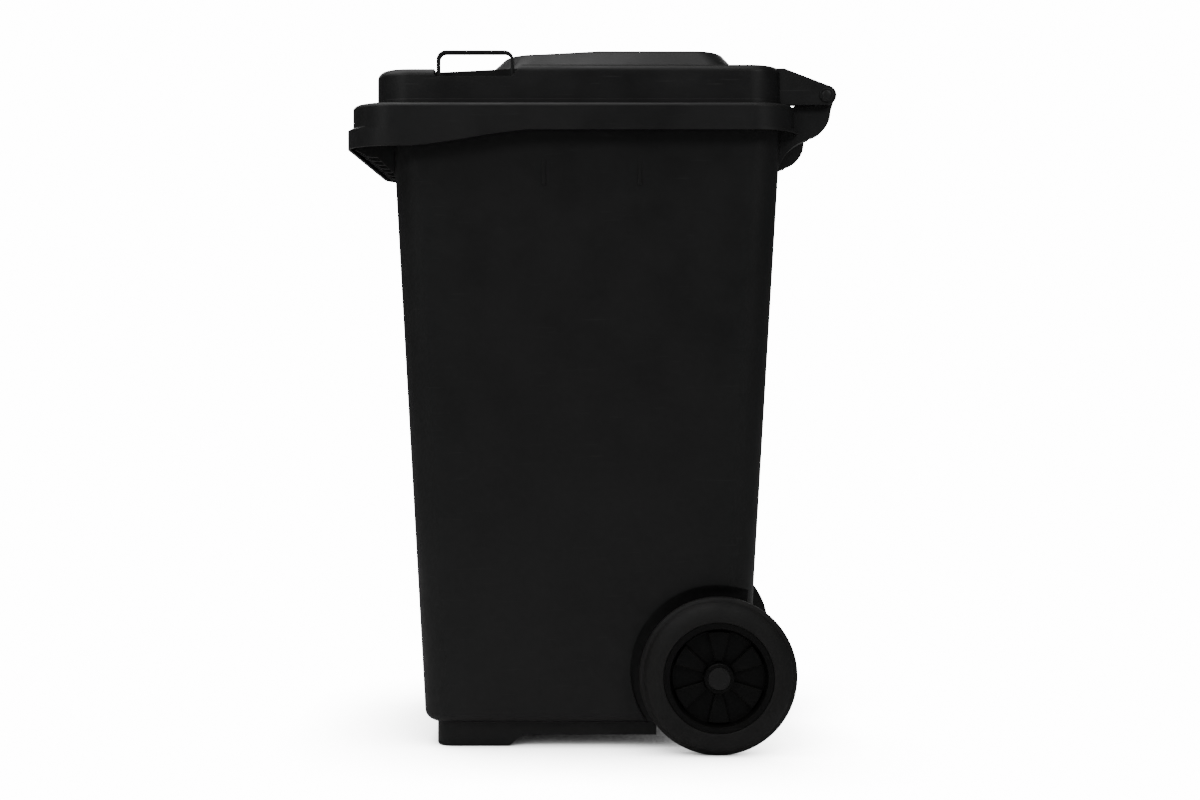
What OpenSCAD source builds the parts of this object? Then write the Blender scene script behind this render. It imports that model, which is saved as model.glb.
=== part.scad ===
// Two-wheeled refuse bin with a hinged lid, 240 litre class.
// Width runs along X, the front faces -Y, the hinge and the wheels are at +Y,
// and the bin stands on Z = 0.

/* [Tub] */
// Height of the rim's top face
rim_top = 972; // [900:1:1050]
// Half the tub's outside width at the rim
tub_half_top = 246; // [235:1:252]
// Half the tub's outside width at the tub's bottom
tub_half_bottom = 219; // [214:1:226]
// Front face at the rim, behind the centre line by its negative value
tub_front_top = -305; // [-312:1:-295]
// Front face at the tub's bottom
tub_front_bottom = -256; // [-275:1:-248]
// Rear face at the rim
tub_back_top = 289; // [280:1:294]
// Rear face at the tub's bottom
tub_back_bottom = 236; // [228:1:250]
// Radius of the tub's upright corners
tub_corner = 42; // [30:1:50]
// Height of the tub's bottom edge above the ground
tub_bottom = 38; // [34:1:50]
// Radius of the rounding along the bottom edge
tub_bottom_round = 20; // [10:1:24]
// Thickness of the tub's wall
wall = 4; // [3:0.5:5]

/* [Foot] */
// How far the plinth's sides stand in from the tub's
plinth_in_side = 10; // [8:1:18]
// How far the plinth's front stands in from the tub's
plinth_in_front = 16; // [10:1:24]
// Distance from the plinth's rear end to the axle bay
plinth_to_bay = 27; // [20:1:40]
// Height of the plinth's underside above the ground
plinth_clear = 18; // [10:1:24]
// Length of the foot that stands on the ground
foot_len = 112; // [80:1:130]
// Length of the slope behind the foot
foot_slope = 23; // [10:1:40]
// Radius of the plinth's upright corners
plinth_corner = 26; // [10:1:34]
// Thickness of the foot's floor
floor_t = 5; // [4:0.5:7]

/* [Rim] */
// How far the rim collar stands out from the tub's sides
rim_out_side = 31; // [26:1:38]
// How far the rim collar stands out from the tub's front
rim_out_front = 57; // [48:1:60]
// How far the rim collar stands out from the tub's back
rim_out_back = 17; // [14:1:20]
// Radius of the collar's upright corners
rim_corner = 64; // [50:1:75]
// Thickness of the collar's top and skirt
rim_wall = 4; // [3:0.5:5]
// Depth of the skirt along the sides and the back
skirt = 41; // [32:1:50]
// Depth of the skirt at the front
skirt_front = 65; // [56:1:72]
// Depth of the ledge where the lower front lip steps out
ledge = 38; // [30:1:46]
// How far the lower front lip steps out
lip_out = 8; // [4:0.5:8]
// Length of the full-depth skirt, from the front backwards
slope_start = 95; // [80:1:120]
// Length over which the skirt rises to its side depth
slope_len = 173; // [120:1:200]

/* [Comb] */
// Number of ribs in the front lifting comb
comb_ribs = 9; // [7:2:9]
// Spacing of the comb ribs
comb_pitch = 52; // [40:1:54]
// Thickness of a comb rib
comb_rib_t = 5; // [4:0.5:6]
// Depth of the comb ribs below the rim's top
comb_depth = 75; // [68:1:80]

/* [Ribs under the rim] */
// Distance of the side ribs from the centre line, along the depth
side_rib_y = 72; // [60:1:90]
// Thickness of a side or corner rib
rib_t = 5; // [4:0.5:7]
// Depth of the side and corner ribs below the rim's top
rib_depth = 120; // [100:1:140]

/* [Lid] */
// Height of the gap between the rim and the lid's lower edge
lid_gap = 2.5; // [2:0.1:4]
// How far the lid's sides stand out from the tub's mouth
lid_lap_side = 8; // [6:1:12]
// How far the lid's front stands out from the tub's mouth
lid_lap_front = 21; // [14:1:27]
// How far the lid's back stands out from the tub's mouth
lid_lap_back = 0; // [0:1:4]
// Radius of the lid's upright corners
lid_corner = 52; // [40:1:60]
// Height of the lid's flat top above its lower edge
lid_height = 51.5; // [48:0.5:56]
// Radius of the rounding along the lid's top edge
lid_round = 12; // [8:1:16]
// Thickness of the lid's wall
lid_wall = 3.5; // [3:0.5:4]
// Height of the bead along the lid's lower edge
bead_h = 5; // [3:0.5:8]
// How far the bead stands out
bead_out = 1.5; // [1:0.5:2]

/* [Dome] */
// Distance from the lid's sides to the dome's foot
dome_in_side = 72; // [62:1:100]
// Distance from the lid's front to the dome's foot
dome_in_front = 160; // [150:1:200]
// Distance from the lid's back to the dome's foot
dome_in_back = 60; // [56:1:90]
// Height of the dome above the lid's flat top
dome_h = 44; // [30:1:50]
// How far the dome's sides lean in
dome_lean = 29; // [20:1:40]
// Radius of the dome's upright corners
dome_corner = 44; // [40:1:60]

/* [Lid handles] */
// Distance from the lid's side to the middle of a loop handle
handle_in_side = 19; // [14:1:24]
// Distance from the lid's front to a loop handle
handle_in_front = 93; // [80:1:110]
// Length of a loop handle
handle_len = 116; // [90:1:130]
// Height of a loop handle above the lid's flat top
handle_h = 28; // [24:1:36]
// Width of a handle's bar
handle_w = 20; // [14:1:24]
// Thickness of a handle's bar
handle_t = 5; // [4:0.5:8]
// Radius of a handle's corners
handle_r = 14; // [8:1:20]
// Depth of the finger hollow under a handle
hollow_depth = 12; // [8:1:14]
// Width of the finger hollow, from the lid's edge inwards
hollow_w = 42; // [36:1:50]

/* [Hinge] */
// Distance of the hinge axis behind the rim collar
hinge_out = 49; // [44:1:56]
// Height of the hinge axis above the rim's top
hinge_rise = 18; // [16:1:24]
// Radius of the lid arm's end, and of the bracket's
boss_r = 15; // [14.5:0.1:15]
// Radius of the hinge pin's shank
pin_r = 7; // [5:0.5:8]
// Radius of the hinge pin's head
pin_head_r = 10.7; // [10:0.1:12]
// Thickness of the hinge pin's head
pin_head_t = 3; // [2:0.5:4]
// How far a lid arm's outer face stands in from the lid's side
arm_in_side = 30; // [26:1:34]
// Thickness of the lid arm
arm_t = 15; // [12:1:18]
// Thickness of the bracket that holds the hinge pin
bracket_t = 26; // [20:1:32]
// Radius of the grip bar between the brackets
grip_r = 14; // [12.5:0.5:14]
// Radius of the hollow inside the grip bar
grip_hollow_r = 10; // [9:0.5:10.5]

/* [Wheels] */
// Radius of the tyre
wheel_r = 118; // [108:1:120]
// Distance of the axle in front of the tub's rear face
axle_in = 47; // [40:1:56]
// Gap between the tub's arch recess and the tyre
tyre_gap = 27; // [22:1:32]
// Width of the tyre
tyre_w = 48; // [40:1:52]
// How far the tyre's sides fall away towards the tread
tyre_fall = 16; // [10:1:18]
// Radius where the tyre meets the rim
tyre_seat_r = 82; // [76:1:86]
// Radius of the axle
axle_r = 10; // [8:0.5:12]
// Clearance between the wheel and the arch recess
arch_gap = 13; // [10:1:18]
// Depth of the arch recess in the tub's side
arch_depth = 9; // [6:1:12]
// How far the hub stands out from the tyre
hub_past = 3; // [1:0.5:4]
// Radius of the hub's front ring
hub_r = 22.3; // [21:0.1:24]
// Radius of the hub behind the wheel's disc
hub_back_r = 25; // [24:0.5:27]
// Number of wedge spokes
spokes = 6; // [5:1:8]
// Width of a wedge spoke, in degrees
spoke_angle = 25; // [15:1:30]
// Wall of the hub's liner bush
bush_t = 2.5; // [2:0.5:3]
// Thickness of the thrust washer
washer_t = 2; // [1.5:0.5:3]

/* [Wheel lock] */
// Distance of the lock pin from the arch recess
lock_in = 40; // [36:1:43]
// Radius of the lock pin
lock_r = 3; // [2.5:0.5:3.5]
// Depth of the groove in the axle
groove_depth = 2; // [1:0.5:3]
// Length of the lock pin
lock_len = 7.5; // [7:0.5:9]

/* [Fits] */
// Radial clearance of parts that turn on each other
running = 0.06; // [0.03:0.01:0.1]
// Radial clearance of parts that are pressed together
seat = 0.05; // [0.02:0.01:0.08]

/* [Hidden] */
$fn = 72;
past = 1;                       // how far a cutter runs past the face that it opens
corner_steps = 7;               // flats round each upright corner
edge_steps = 4;                 // flats round each rounded edge
rim_half = tub_half_top + rim_out_side;
rim_front = tub_front_top - rim_out_front;
rim_back = tub_back_top + rim_out_back;
lid_half = tub_half_top + lid_lap_side;
lid_front = tub_front_top - lid_lap_front;
lid_back = tub_back_top + lid_lap_back;
lid_bottom = rim_top + lid_gap;
lid_top = lid_bottom + lid_height;
dome_half = lid_half - dome_in_side;
dome_front = lid_front + dome_in_front;
dome_back = lid_back - dome_in_back;
handle_x = lid_half - handle_in_side;
handle_front = lid_front + handle_in_front;
hinge_y = rim_back + hinge_out;
hinge_z = rim_top + hinge_rise;
arm_x = lid_half - arm_in_side;
arm_in = arm_x - arm_t;
arm_gap = 2;                    // side clearance between a lid arm and its bracket
bracket_x = arm_in - arm_gap - bracket_t;
rim_bottom = rim_top - skirt;
rim_bottom_front = rim_top - skirt_front;
axle_y = tub_back_bottom - axle_in;
arch_x = tub_half_bottom - arch_depth;
arch_r = wheel_r + arch_gap;
tyre_in = arch_x + tyre_gap;
tyre_out = tyre_in + tyre_w;
hub_out = tyre_out + hub_past;
bush_r = axle_r + bush_t;
key_depth = 4;                  // rib inside the tyre that keys it to its rim
key_half = 6;
tyre_middle = tyre_in + tyre_w / 2;
lock_x = arch_x + lock_in;
cheek_t = 10;                   // thickness of the tub's cheeks that carry the axle
bay_half = arch_x - cheek_t;
bay_front = axle_y - 65;        // front wall of the axle bay
bay_roof = wheel_r + 43;
bay_chamfer = 30;
lug_x = 70;                     // middle of each inner axle lug
lug_t = 10;
plinth_half = tub_half_bottom - plinth_in_side;
plinth_front = tub_front_bottom + plinth_in_front;
plinth_back = bay_front - plinth_to_bay;
foot_back = plinth_front + foot_len;
hub_in = arch_x + washer_t + 0.6;
axle_end = hub_out - 9;
cap_r = 17.5;
cap_t = 4;
disc_x = tyre_out - 17;         // front face of the wheel's disc
disc_t = 5;
spoke_h = 7;                    // how far the spokes stand out from the disc
lip_r = 72.5;                   // inside of the lip round the wheel's face
lock_low = axle_r - groove_depth + 0.3;   // lock pin's inner end, from the axle's centre
plug_t = 3.5;
buffer_x = 150;
buffer_head_r = 5;
buffer_stem_r = 2.5;
buffer_lift = 0.3;              // clearance between a buffer and the closed lid
buffer_front = lid_front + lid_wall / 2;
buffer_back = lid_back - lid_wall / 2 + 4;
comb_nose = 18;                 // where a comb rib's underside levels out behind the lip
comb_flat = 38;                 // where it turns down towards the tub
comb_brace = 30;                // how much lower it meets the tub
bulge_r = 41;                   // upper, outward curve of a rear bracket
bulge_in = 33;                  // its middle in front of and below the hinge
bulge_drop = 23;
sweep_r = 63.5;                 // lower, hollow curve of a rear bracket
sweep_in = 10;
sweep_drop = 127;

// ---------- shapes ----------

// Outline of a rectangle with rounded corners, as points
function rounded(half, front, back, r) = [
    for (c = [[1, back, 0], [-1, back, 90], [-1, front, 180], [1, front, 270]])
        for (i = [0 : corner_steps])
            let (a = c[2] + 90 * i / corner_steps, inward = c[1] == back ? -r : r)
            [c[0] * (half - r) + r * cos(a), c[1] + inward + r * sin(a)]
];

// Points on an arc in a flat outline
function arc(centre, r, from, to, steps = 8) = [
    for (i = [0 : steps])
        let (a = from + (to - from) * i / steps)
        [centre[0] + r * cos(a), centre[1] + r * sin(a)]
];

// Closed skin through a stack of level outlines, each given as [height, outline]
module loft(rings) {
    n = len(rings[0][1]);
    last = len(rings) - 1;
    points = [for (ring = rings) for (p = ring[1]) [p[0], p[1], ring[0]]];
    sides = [
        for (k = [0 : last - 1]) for (i = [0 : n - 1])
            let (a = k * n, b = a + n, j = (i + 1) % n)
            each [[a + i, b + i, b + j], [a + i, b + j, a + j]]
    ];
    foot = [for (i = [0 : n - 1]) i];
    head = [for (i = [n - 1 : -1 : 0]) last * n + i];
    polyhedron(points, concat([foot, head], sides));
}

// A side-on outline, drawn as [depth, height], made solid between two widths
module side_plate(x0, x1, outline) {
    translate([x0, 0, 0]) rotate([90, 0, 90]) linear_extrude(x1 - x0) polygon(outline);
}

// The same shape on the right and on the left
module both_sides() {
    children();
    mirror([1, 0, 0]) children();
}

// A solid turned about the wheels' axis, drawn as [distance from centre line, radius]
module turned(outline) {
    translate([0, axle_y, wheel_r]) rotate([90, 0, 90]) rotate_extrude()
        polygon([for (p = outline) [p[1], p[0]]]);
}

// A straight round bar along the width
module bar(x0, x1, r, y, z) {
    translate([x0, y, z]) rotate([0, 90, 0]) cylinder(h = x1 - x0, r = r);
}

// Hollowed gusset: a plate with a concave free edge, its corner at the origin
module gusset(depth, height, thick) {
    rotate([90, 0, 0]) linear_extrude(thick, center = true)
        polygon(concat([[-wall, 0]], [
            for (i = [0 : 8]) let (a = 90 * i / 8)
                [depth * (1 - sin(a)), -height * (1 - cos(a))]
        ], [[-wall, -height]]));
}

// ---------- tub ----------

// Share of the way up the tub, from 0 at its bottom to 1 at the rim
function rise(z) = (z - tub_bottom) / (rim_top - tub_bottom);
function tub_half(z) = tub_half_bottom + (tub_half_top - tub_half_bottom) * rise(z);
function tub_front(z) = tub_front_bottom + (tub_front_top - tub_front_bottom) * rise(z);
function tub_back(z) = tub_back_bottom + (tub_back_top - tub_back_bottom) * rise(z);
function tub_ring(z, inset) = [z, rounded(tub_half(z) - inset, tub_front(z) + inset,
    tub_back(z) - inset, max(tub_corner - inset, 6))];

// The tub's solid form, set in from its outside by a thickness
module tub_form(inset, top) {
    low = tub_bottom + inset;
    r = max(tub_bottom_round - inset / 2, 4);
    loft(concat([
        for (i = [0 : edge_steps])
            let (a = 90 * i / edge_steps)
            tub_ring(low + r * (1 - cos(a)), inset + r * (1 - sin(a)))
    ], [tub_ring(top, inset)]));
}

module plinth_form(inset, low, top) {
    intersection() {
        translate([0, 0, low]) linear_extrude(top - low)
            polygon(rounded(plinth_half - inset, plinth_front + inset, plinth_back - inset,
                plinth_corner - inset));
        side_plate(-plinth_half, plinth_half, [
            [plinth_front, low], [foot_back, low], [foot_back + foot_slope, low + plinth_clear],
            [plinth_back, low + plinth_clear], [plinth_back, top], [plinth_front, top]
        ]);
    }
}

// Space round each wheel, grown by a thickness
module arches(grow) {
    both_sides() bar(arch_x - grow, rim_half, arch_r + grow, axle_y, wheel_r);
}

// Space under the tub's rear that the axle crosses, grown by a thickness
module axle_bay(grow) {
    side_plate(-bay_half - grow, bay_half + grow, [
        [bay_front - grow, -past], [bay_front - grow, bay_roof + grow - bay_chamfer],
        [bay_front - grow + bay_chamfer, bay_roof + grow],
        [rim_back, bay_roof + grow], [rim_back, -past]
    ]);
}

module axle_lugs() {
    both_sides() side_plate(lug_x - lug_t / 2, lug_x + lug_t / 2, [
        [bay_front - past, bay_roof + past], [bay_front - past, wheel_r - 20],
        [axle_y - 25, wheel_r - 30], [axle_y + 22, wheel_r - 30],
        [tub_back(wheel_r) - 8, bay_roof - 20], [tub_back(bay_roof) - 2, bay_roof + past]
    ]);
}

module collar() {
    difference() {
        union() {
            translate([0, 0, rim_bottom_front]) linear_extrude(skirt_front)
                polygon(rounded(rim_half, rim_front, rim_back, rim_corner));
            translate([0, 0, rim_bottom_front]) linear_extrude(skirt_front - ledge)
                polygon(rounded(rim_half, rim_front - lip_out, rim_back, rim_corner + lip_out));
        }
        translate([0, 0, rim_bottom_front - past]) linear_extrude(skirt_front + past - rim_wall)
            polygon(rounded(rim_half - rim_wall, rim_front + rim_wall, rim_back - rim_wall,
                rim_corner - rim_wall));
        side_plate(-rim_half - past, rim_half + past, [
            [rim_front + slope_start, rim_bottom_front - past],
            [rim_front + slope_start, rim_bottom_front],
            [rim_front + slope_start + slope_len, rim_bottom], [rim_back + past, rim_bottom],
            [rim_back + past, rim_bottom_front - past]
        ]);
    }
}

module comb() {
    low = rim_top - comb_depth;
    for (i = [0 : comb_ribs - 1]) {
        x = (i - (comb_ribs - 1) / 2) * comb_pitch;
        side_plate(x - comb_rib_t / 2, x + comb_rib_t / 2, [
            [rim_front + rim_wall / 2, rim_top - rim_wall / 2],
            [rim_front + rim_wall / 2, rim_bottom_front],
            [rim_front + comb_nose, low + 3], [rim_front + comb_flat, low],
            [tub_front(low) + wall / 2, low - comb_brace],
            [tub_front(rim_top) + wall / 2, rim_top - rim_wall / 2]
        ]);
    }
}

module rim_ribs() {
    low = rim_top - rib_depth;
    both_sides() {
        for (y = [-side_rib_y, side_rib_y])
            translate([tub_half(low), y, rim_top - rim_wall / 2])
                gusset(rim_half - rim_wall / 2 - tub_half(low), rib_depth, rib_t);
        translate([tub_half(low) - 16, tub_front(low) + 16, rim_top - rim_wall / 2])
            rotate([0, 0, -45]) gusset(46, rib_depth, rib_t);
        translate([tub_half(low) - 16, tub_back(low) - 16, rim_top - rim_wall / 2])
            rotate([0, 0, 45]) gusset(34, rib_depth, rib_t);
    }
}

// Side-on outline of a rear bracket: round at the hinge, then sweeping down to the tub
module brackets() {
    both_sides() side_plate(bracket_x, bracket_x + bracket_t, concat(
        arc([hinge_y, hinge_z], boss_r, 130, 0),
        arc([hinge_y - bulge_in, hinge_z - bulge_drop], bulge_r, 0, -78),
        arc([hinge_y - sweep_in, hinge_z - sweep_drop], sweep_r, 104, 154),
        [[tub_back(rim_top - rib_depth), hinge_z - 110],
        [tub_back(rim_top) - wall / 2, rim_top - 1], [rim_back - 6, rim_top - 1]]
    ));
}

module bin_body() {
    color("#191a1b") difference() {
        union() {
            difference() {
                union() {
                    tub_form(0, rim_top);
                    plinth_form(0, 0, tub_bottom + tub_bottom_round);
                }
                arches(0);
                axle_bay(0);
            }
            collar();
            comb();
            rim_ribs();
            brackets();
            axle_lugs();
            bar(-bracket_x - past, bracket_x + past, grip_r, hinge_y, hinge_z);
        }
        difference() {
            union() {
                tub_form(wall, rim_top + past);
                plinth_form(floor_t, floor_t, tub_bottom + tub_bottom_round);
            }
            arches(wall);
            axle_bay(wall);
        }
        bar(-bracket_x, bracket_x, grip_hollow_r, hinge_y, hinge_z);
        both_sides() bar(bracket_x - past, arm_x, pin_r + seat, hinge_y, hinge_z);
        bar(-rim_half, rim_half, axle_r + running, axle_y, wheel_r);
        both_sides() for (y = [buffer_front, buffer_back])
            translate([buffer_x, y, rim_top - rim_wall - past])
                cylinder(h = rim_wall + 2 * past, r = buffer_stem_r + seat);
    }
}

// ---------- lid ----------

function lid_ring(z, inset) = [z, rounded(lid_half - inset, lid_front + inset, lid_back - inset,
    max(lid_corner - inset, 8))];

module lid_form(inset, low) {
    top = lid_top - inset;
    r = lid_round - inset / 2;
    loft(concat([lid_ring(low, inset)], [
        for (i = [0 : edge_steps])
            let (a = 90 * i / edge_steps)
            lid_ring(top - r * (1 - sin(a)), inset + r * (1 - cos(a)))
    ]));
}

module dome_form(inset) {
    crown = 6;
    foot = lid_top - 8;
    top = lid_top + dome_h - inset;
    shoulder = top - crown;
    lean = function (z) dome_lean * max(z + inset - lid_top, 0) / dome_h;
    ring = function (z, extra) [z, rounded(dome_half - inset - lean(z) - extra,
        dome_front + inset + lean(z) + extra, dome_back - inset - lean(z) - extra,
        dome_corner - inset - extra)];
    loft([ring(foot, 0), ring(lid_top - inset, 0), ring(shoulder, 0),
        ring(top - 1.5, 2.5), ring(top, crown)]);
}

// Scoop in the lid's top edge that lets fingers under a handle, grown by a thickness
module finger_hollows(grow) {
    both_sides() side_plate(lid_half - hollow_w - grow, lid_half + past, [
        [handle_front - 3 - grow, lid_top + past],
        [handle_front - 3 - grow, lid_top - hollow_depth - grow],
        [handle_front + handle_len - 2 + grow, lid_top - hollow_depth - grow],
        [handle_front + handle_len + hollow_depth + grow, lid_top + past]
    ]);
}

module loop_handles() {
    low = lid_top - hollow_depth - lid_wall / 2;
    high = lid_top + handle_h;
    back = handle_front + handle_len;
    inner_r = handle_r - handle_t;
    both_sides() side_plate(handle_x - handle_w / 2, handle_x + handle_w / 2, concat(
        [[handle_front, low]],
        arc([handle_front + handle_r, high - handle_r], handle_r, 180, 90, 6),
        arc([back - handle_r, high - handle_r], handle_r, 90, 0, 6),
        [[back, low], [back - handle_t, low]],
        arc([back - handle_r, high - handle_r], inner_r, 0, 90, 6),
        arc([handle_front + handle_r, high - handle_r], inner_r, 90, 180, 6),
        [[handle_front + handle_t, low]]
    ));
}

module lid_arms() {
    both_sides() difference() {
        side_plate(arm_in, arm_x, concat(
            arc([hinge_y, hinge_z], boss_r, 78, -90),
            [[lid_back - lid_corner, lid_bottom], [lid_back - lid_corner, lid_top - lid_round],
            [lid_back - 12, lid_top - 2], [lid_back + 2, lid_top - 2]]
        ));
        bar(arm_in - past, arm_x + past, pin_r + running, hinge_y, hinge_z);
    }
}

module lid() {
    color("#1b1c1d") difference() {
        union() {
            difference() {
                union() {
                    lid_form(0, lid_bottom);
                    loft([lid_ring(lid_bottom, -bead_out), lid_ring(lid_bottom + bead_h, -bead_out)]);
                    dome_form(0);
                }
                finger_hollows(0);
            }
            loop_handles();
            lid_arms();
        }
        difference() {
            union() {
                lid_form(lid_wall, lid_bottom - past);
                dome_form(lid_wall);
            }
            finger_hollows(lid_wall);
        }
    }
}

// ---------- small parts of the lid ----------

module hinge_pin() {
    barb = 1;
    shank_end = bracket_x - 5;
    color("#222324") translate([0, hinge_y, hinge_z]) rotate([90, 0, 90]) rotate_extrude()
        polygon(concat(
            [[0, shank_end], [pin_r - 1.5, shank_end], [pin_r + barb, bracket_x - 1.5],
            [pin_r + barb, bracket_x - 0.4], [pin_r, bracket_x - 0.4], [pin_r, arm_x + 0.3],
            [pin_head_r, arm_x + 0.3], [pin_head_r, arm_x + pin_head_t - 1],
            [pin_head_r - 1, arm_x + pin_head_t]],
            [[pin_r, arm_x + pin_head_t], [0, arm_x + pin_head_t]]
        ));
}

module lid_buffers() {
    color("#101010") both_sides() for (y = [buffer_front, buffer_back])
        translate([buffer_x, y, 0]) {
            translate([0, 0, rim_top]) cylinder(h = lid_gap - buffer_lift, r = buffer_head_r);
            translate([0, 0, rim_top - rim_wall - 2]) cylinder(h = rim_wall + 3, r = buffer_stem_r);
        }
}

// ---------- axle and wheels ----------

module axle() {
    groove_half = lock_r + 0.5;
    chamfer = 1.5;
    half = [
        [lock_x - groove_half, axle_r], [lock_x - groove_half, axle_r - groove_depth],
        [lock_x + groove_half, axle_r - groove_depth], [lock_x + groove_half, axle_r],
        [axle_end - chamfer, axle_r], [axle_end, axle_r - chamfer], [axle_end, 0]
    ];
    mirrored = [for (i = [len(half) - 1 : -1 : 0]) [-half[i][0], half[i][1]]];
    color("#8d9093") turned(concat(mirrored, half));
}

module axle_washer() {
    r_out = 19;
    color("#2a2a2a") turned([
        [arch_x + 0.3, axle_r + running], [arch_x + 0.3, r_out],
        [arch_x + 0.3 + washer_t, r_out], [arch_x + 0.3 + washer_t, axle_r + running]
    ]);
}

// Solid tyre: narrow tread, sides that fall away to a small step, and a rib that keys into the rim
module tyre() {
    side_r = tyre_seat_r + 2;   // where a side begins to fall away
    side_h = wheel_r - 6 - side_r;
    step = 1.2;
    side = [for (a = [0 : 12 : 72])
        [tyre_out - tyre_fall * (1 - cos(a)) / (1 - cos(72)), side_r + side_h * sin(a) / sin(72)]];
    tread = tyre_fall + 3;
    half = concat([[tyre_out - 2, tyre_seat_r + seat]], side,
        [[tyre_out - tyre_fall - step, wheel_r - 1.5], [tyre_out - tread, wheel_r]]);
    far_half = [for (i = [len(half) - 1 : -1 : 0]) [tyre_in + tyre_out - half[i][0], half[i][1]]];
    color("#141414") turned(concat(half, far_half, [
        [tyre_middle - key_half, tyre_seat_r + seat],
        [tyre_middle - key_half, tyre_seat_r - key_depth + seat],
        [tyre_middle + key_half, tyre_seat_r - key_depth + seat],
        [tyre_middle + key_half, tyre_seat_r + seat]
    ]));
}

// Wheel centre: barrel, disc, wedge spokes and hub
module rim() {
    face = tyre_out - 1;
    back = tyre_in + 3;
    barrel = 6;
    key_in = tyre_middle - key_half - seat;
    key_out = tyre_middle + key_half + seat;
    difference() {
        color("#1d1c1b") union() {
            turned([
                [hub_in, bush_r + seat], [hub_in, hub_back_r], [disc_x - disc_t, hub_back_r],
                [disc_x - disc_t, tyre_seat_r - barrel - 5], [back, tyre_seat_r - barrel],
                [back, tyre_seat_r], [key_in, tyre_seat_r], [key_in, tyre_seat_r - key_depth],
                [key_out, tyre_seat_r - key_depth], [key_out, tyre_seat_r], [face, tyre_seat_r],
                [face, lip_r + 1], [face - 1, lip_r], [disc_x, lip_r - 3], [disc_x, hub_r],
                [hub_out - 1, hub_r], [hub_out, hub_r - 1], [hub_out, cap_r + seat],
                [hub_out - cap_t, cap_r + seat], [hub_out - cap_t, bush_r + seat]
            ]);
            for (i = [0 : spokes - 1])
                translate([disc_x - 1, axle_y, wheel_r]) rotate([90, 0, 90])
                    rotate([0, 0, 90 + i * 360 / spokes]) linear_extrude(spoke_h + 1)
                        polygon(concat(arc([0, 0], hub_r - 1, -spoke_angle / 2, spoke_angle / 2, 2),
                            arc([0, 0], lip_r - 0.5, spoke_angle / 2, -spoke_angle / 2, 4)));
        }
        translate([lock_x, axle_y, wheel_r])
            cylinder(h = hub_back_r + past, r = lock_r + running);
    }
}

module hub_bush() {
    color("#3a3a3a") difference() {
        turned([
            [hub_in, axle_r + running], [hub_in, bush_r],
            [hub_out - cap_t - 1, bush_r], [hub_out - cap_t - 1, axle_r + running]
        ]);
        translate([lock_x, axle_y, wheel_r]) cylinder(h = hub_back_r, r = lock_r + running);
    }
}

module lock_pin() {
    color("#9a9da0") translate([lock_x, axle_y, wheel_r + lock_low]) {
        cylinder(h = lock_len, r = lock_r);
        cylinder(h = lock_len + 1.2, r = lock_r / 2);
    }
}

// Compression spring: a wire swept along a helix
module lock_spring() {
    wire_r = 0.4;
    coil_r = lock_r - wire_r - 0.1;
    low = lock_low + lock_len + wire_r + 0.02;
    high = hub_back_r - plug_t - wire_r - 0.02;
    turns = 3;
    per_turn = 16;
    sides = 8;
    steps = turns * per_turn;
    points = [
        for (i = [0 : steps]) for (k = [0 : sides - 1])
            let (a = 360 * i / per_turn, b = 360 * k / sides, r = coil_r + wire_r * cos(b))
            [r * cos(a), r * sin(a), low + (high - low) * i / steps + wire_r * sin(b)]
    ];
    skin = [
        for (i = [0 : steps - 1]) for (k = [0 : sides - 1])
            let (a = i * sides, b = a + sides, j = (k + 1) % sides)
            each [[a + k, b + j, b + k], [a + k, a + j, b + j]]
    ];
    ends = [[for (k = [sides - 1 : -1 : 0]) k], [for (k = [0 : sides - 1]) steps * sides + k]];
    color("#b5b8ba") translate([lock_x, axle_y, wheel_r]) polyhedron(points, concat(skin, ends));
}

module lock_plug() {
    color("#2c2c2c") translate([lock_x, axle_y, wheel_r + hub_back_r - plug_t])
        cylinder(h = plug_t, r = lock_r + running - seat);
}

module hub_cap() {
    skirt_r = 15;
    color("#232323") turned([
        [hub_out - cap_t + seat, 0], [hub_out - cap_t + seat, skirt_r], [hub_out - cap_t + 1, cap_r],
        [hub_out + 1, cap_r], [hub_out + 2, cap_r - 1], [hub_out + 2, 0]
    ]);
}

bin_body();
lid();
hinge_pin();  // hinge_pin_right
mirror([1, 0, 0]) hinge_pin();  // hinge_pin_left
lid_buffers();
axle();
axle_washer();  // axle_washer_right
mirror([1, 0, 0]) axle_washer();  // axle_washer_left
tyre();  // tyre_right
mirror([1, 0, 0]) tyre();  // tyre_left
rim();  // rim_right
mirror([1, 0, 0]) rim();  // rim_left
hub_bush();  // hub_bush_right
mirror([1, 0, 0]) hub_bush();  // hub_bush_left
lock_pin();  // lock_pin_right
mirror([1, 0, 0]) lock_pin();  // lock_pin_left
lock_spring();  // lock_spring_right
mirror([1, 0, 0]) lock_spring();  // lock_spring_left
lock_plug();  // lock_plug_right
mirror([1, 0, 0]) lock_plug();  // lock_plug_left
hub_cap();  // hub_cap_right
mirror([1, 0, 0]) hub_cap();  // hub_cap_left
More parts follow.
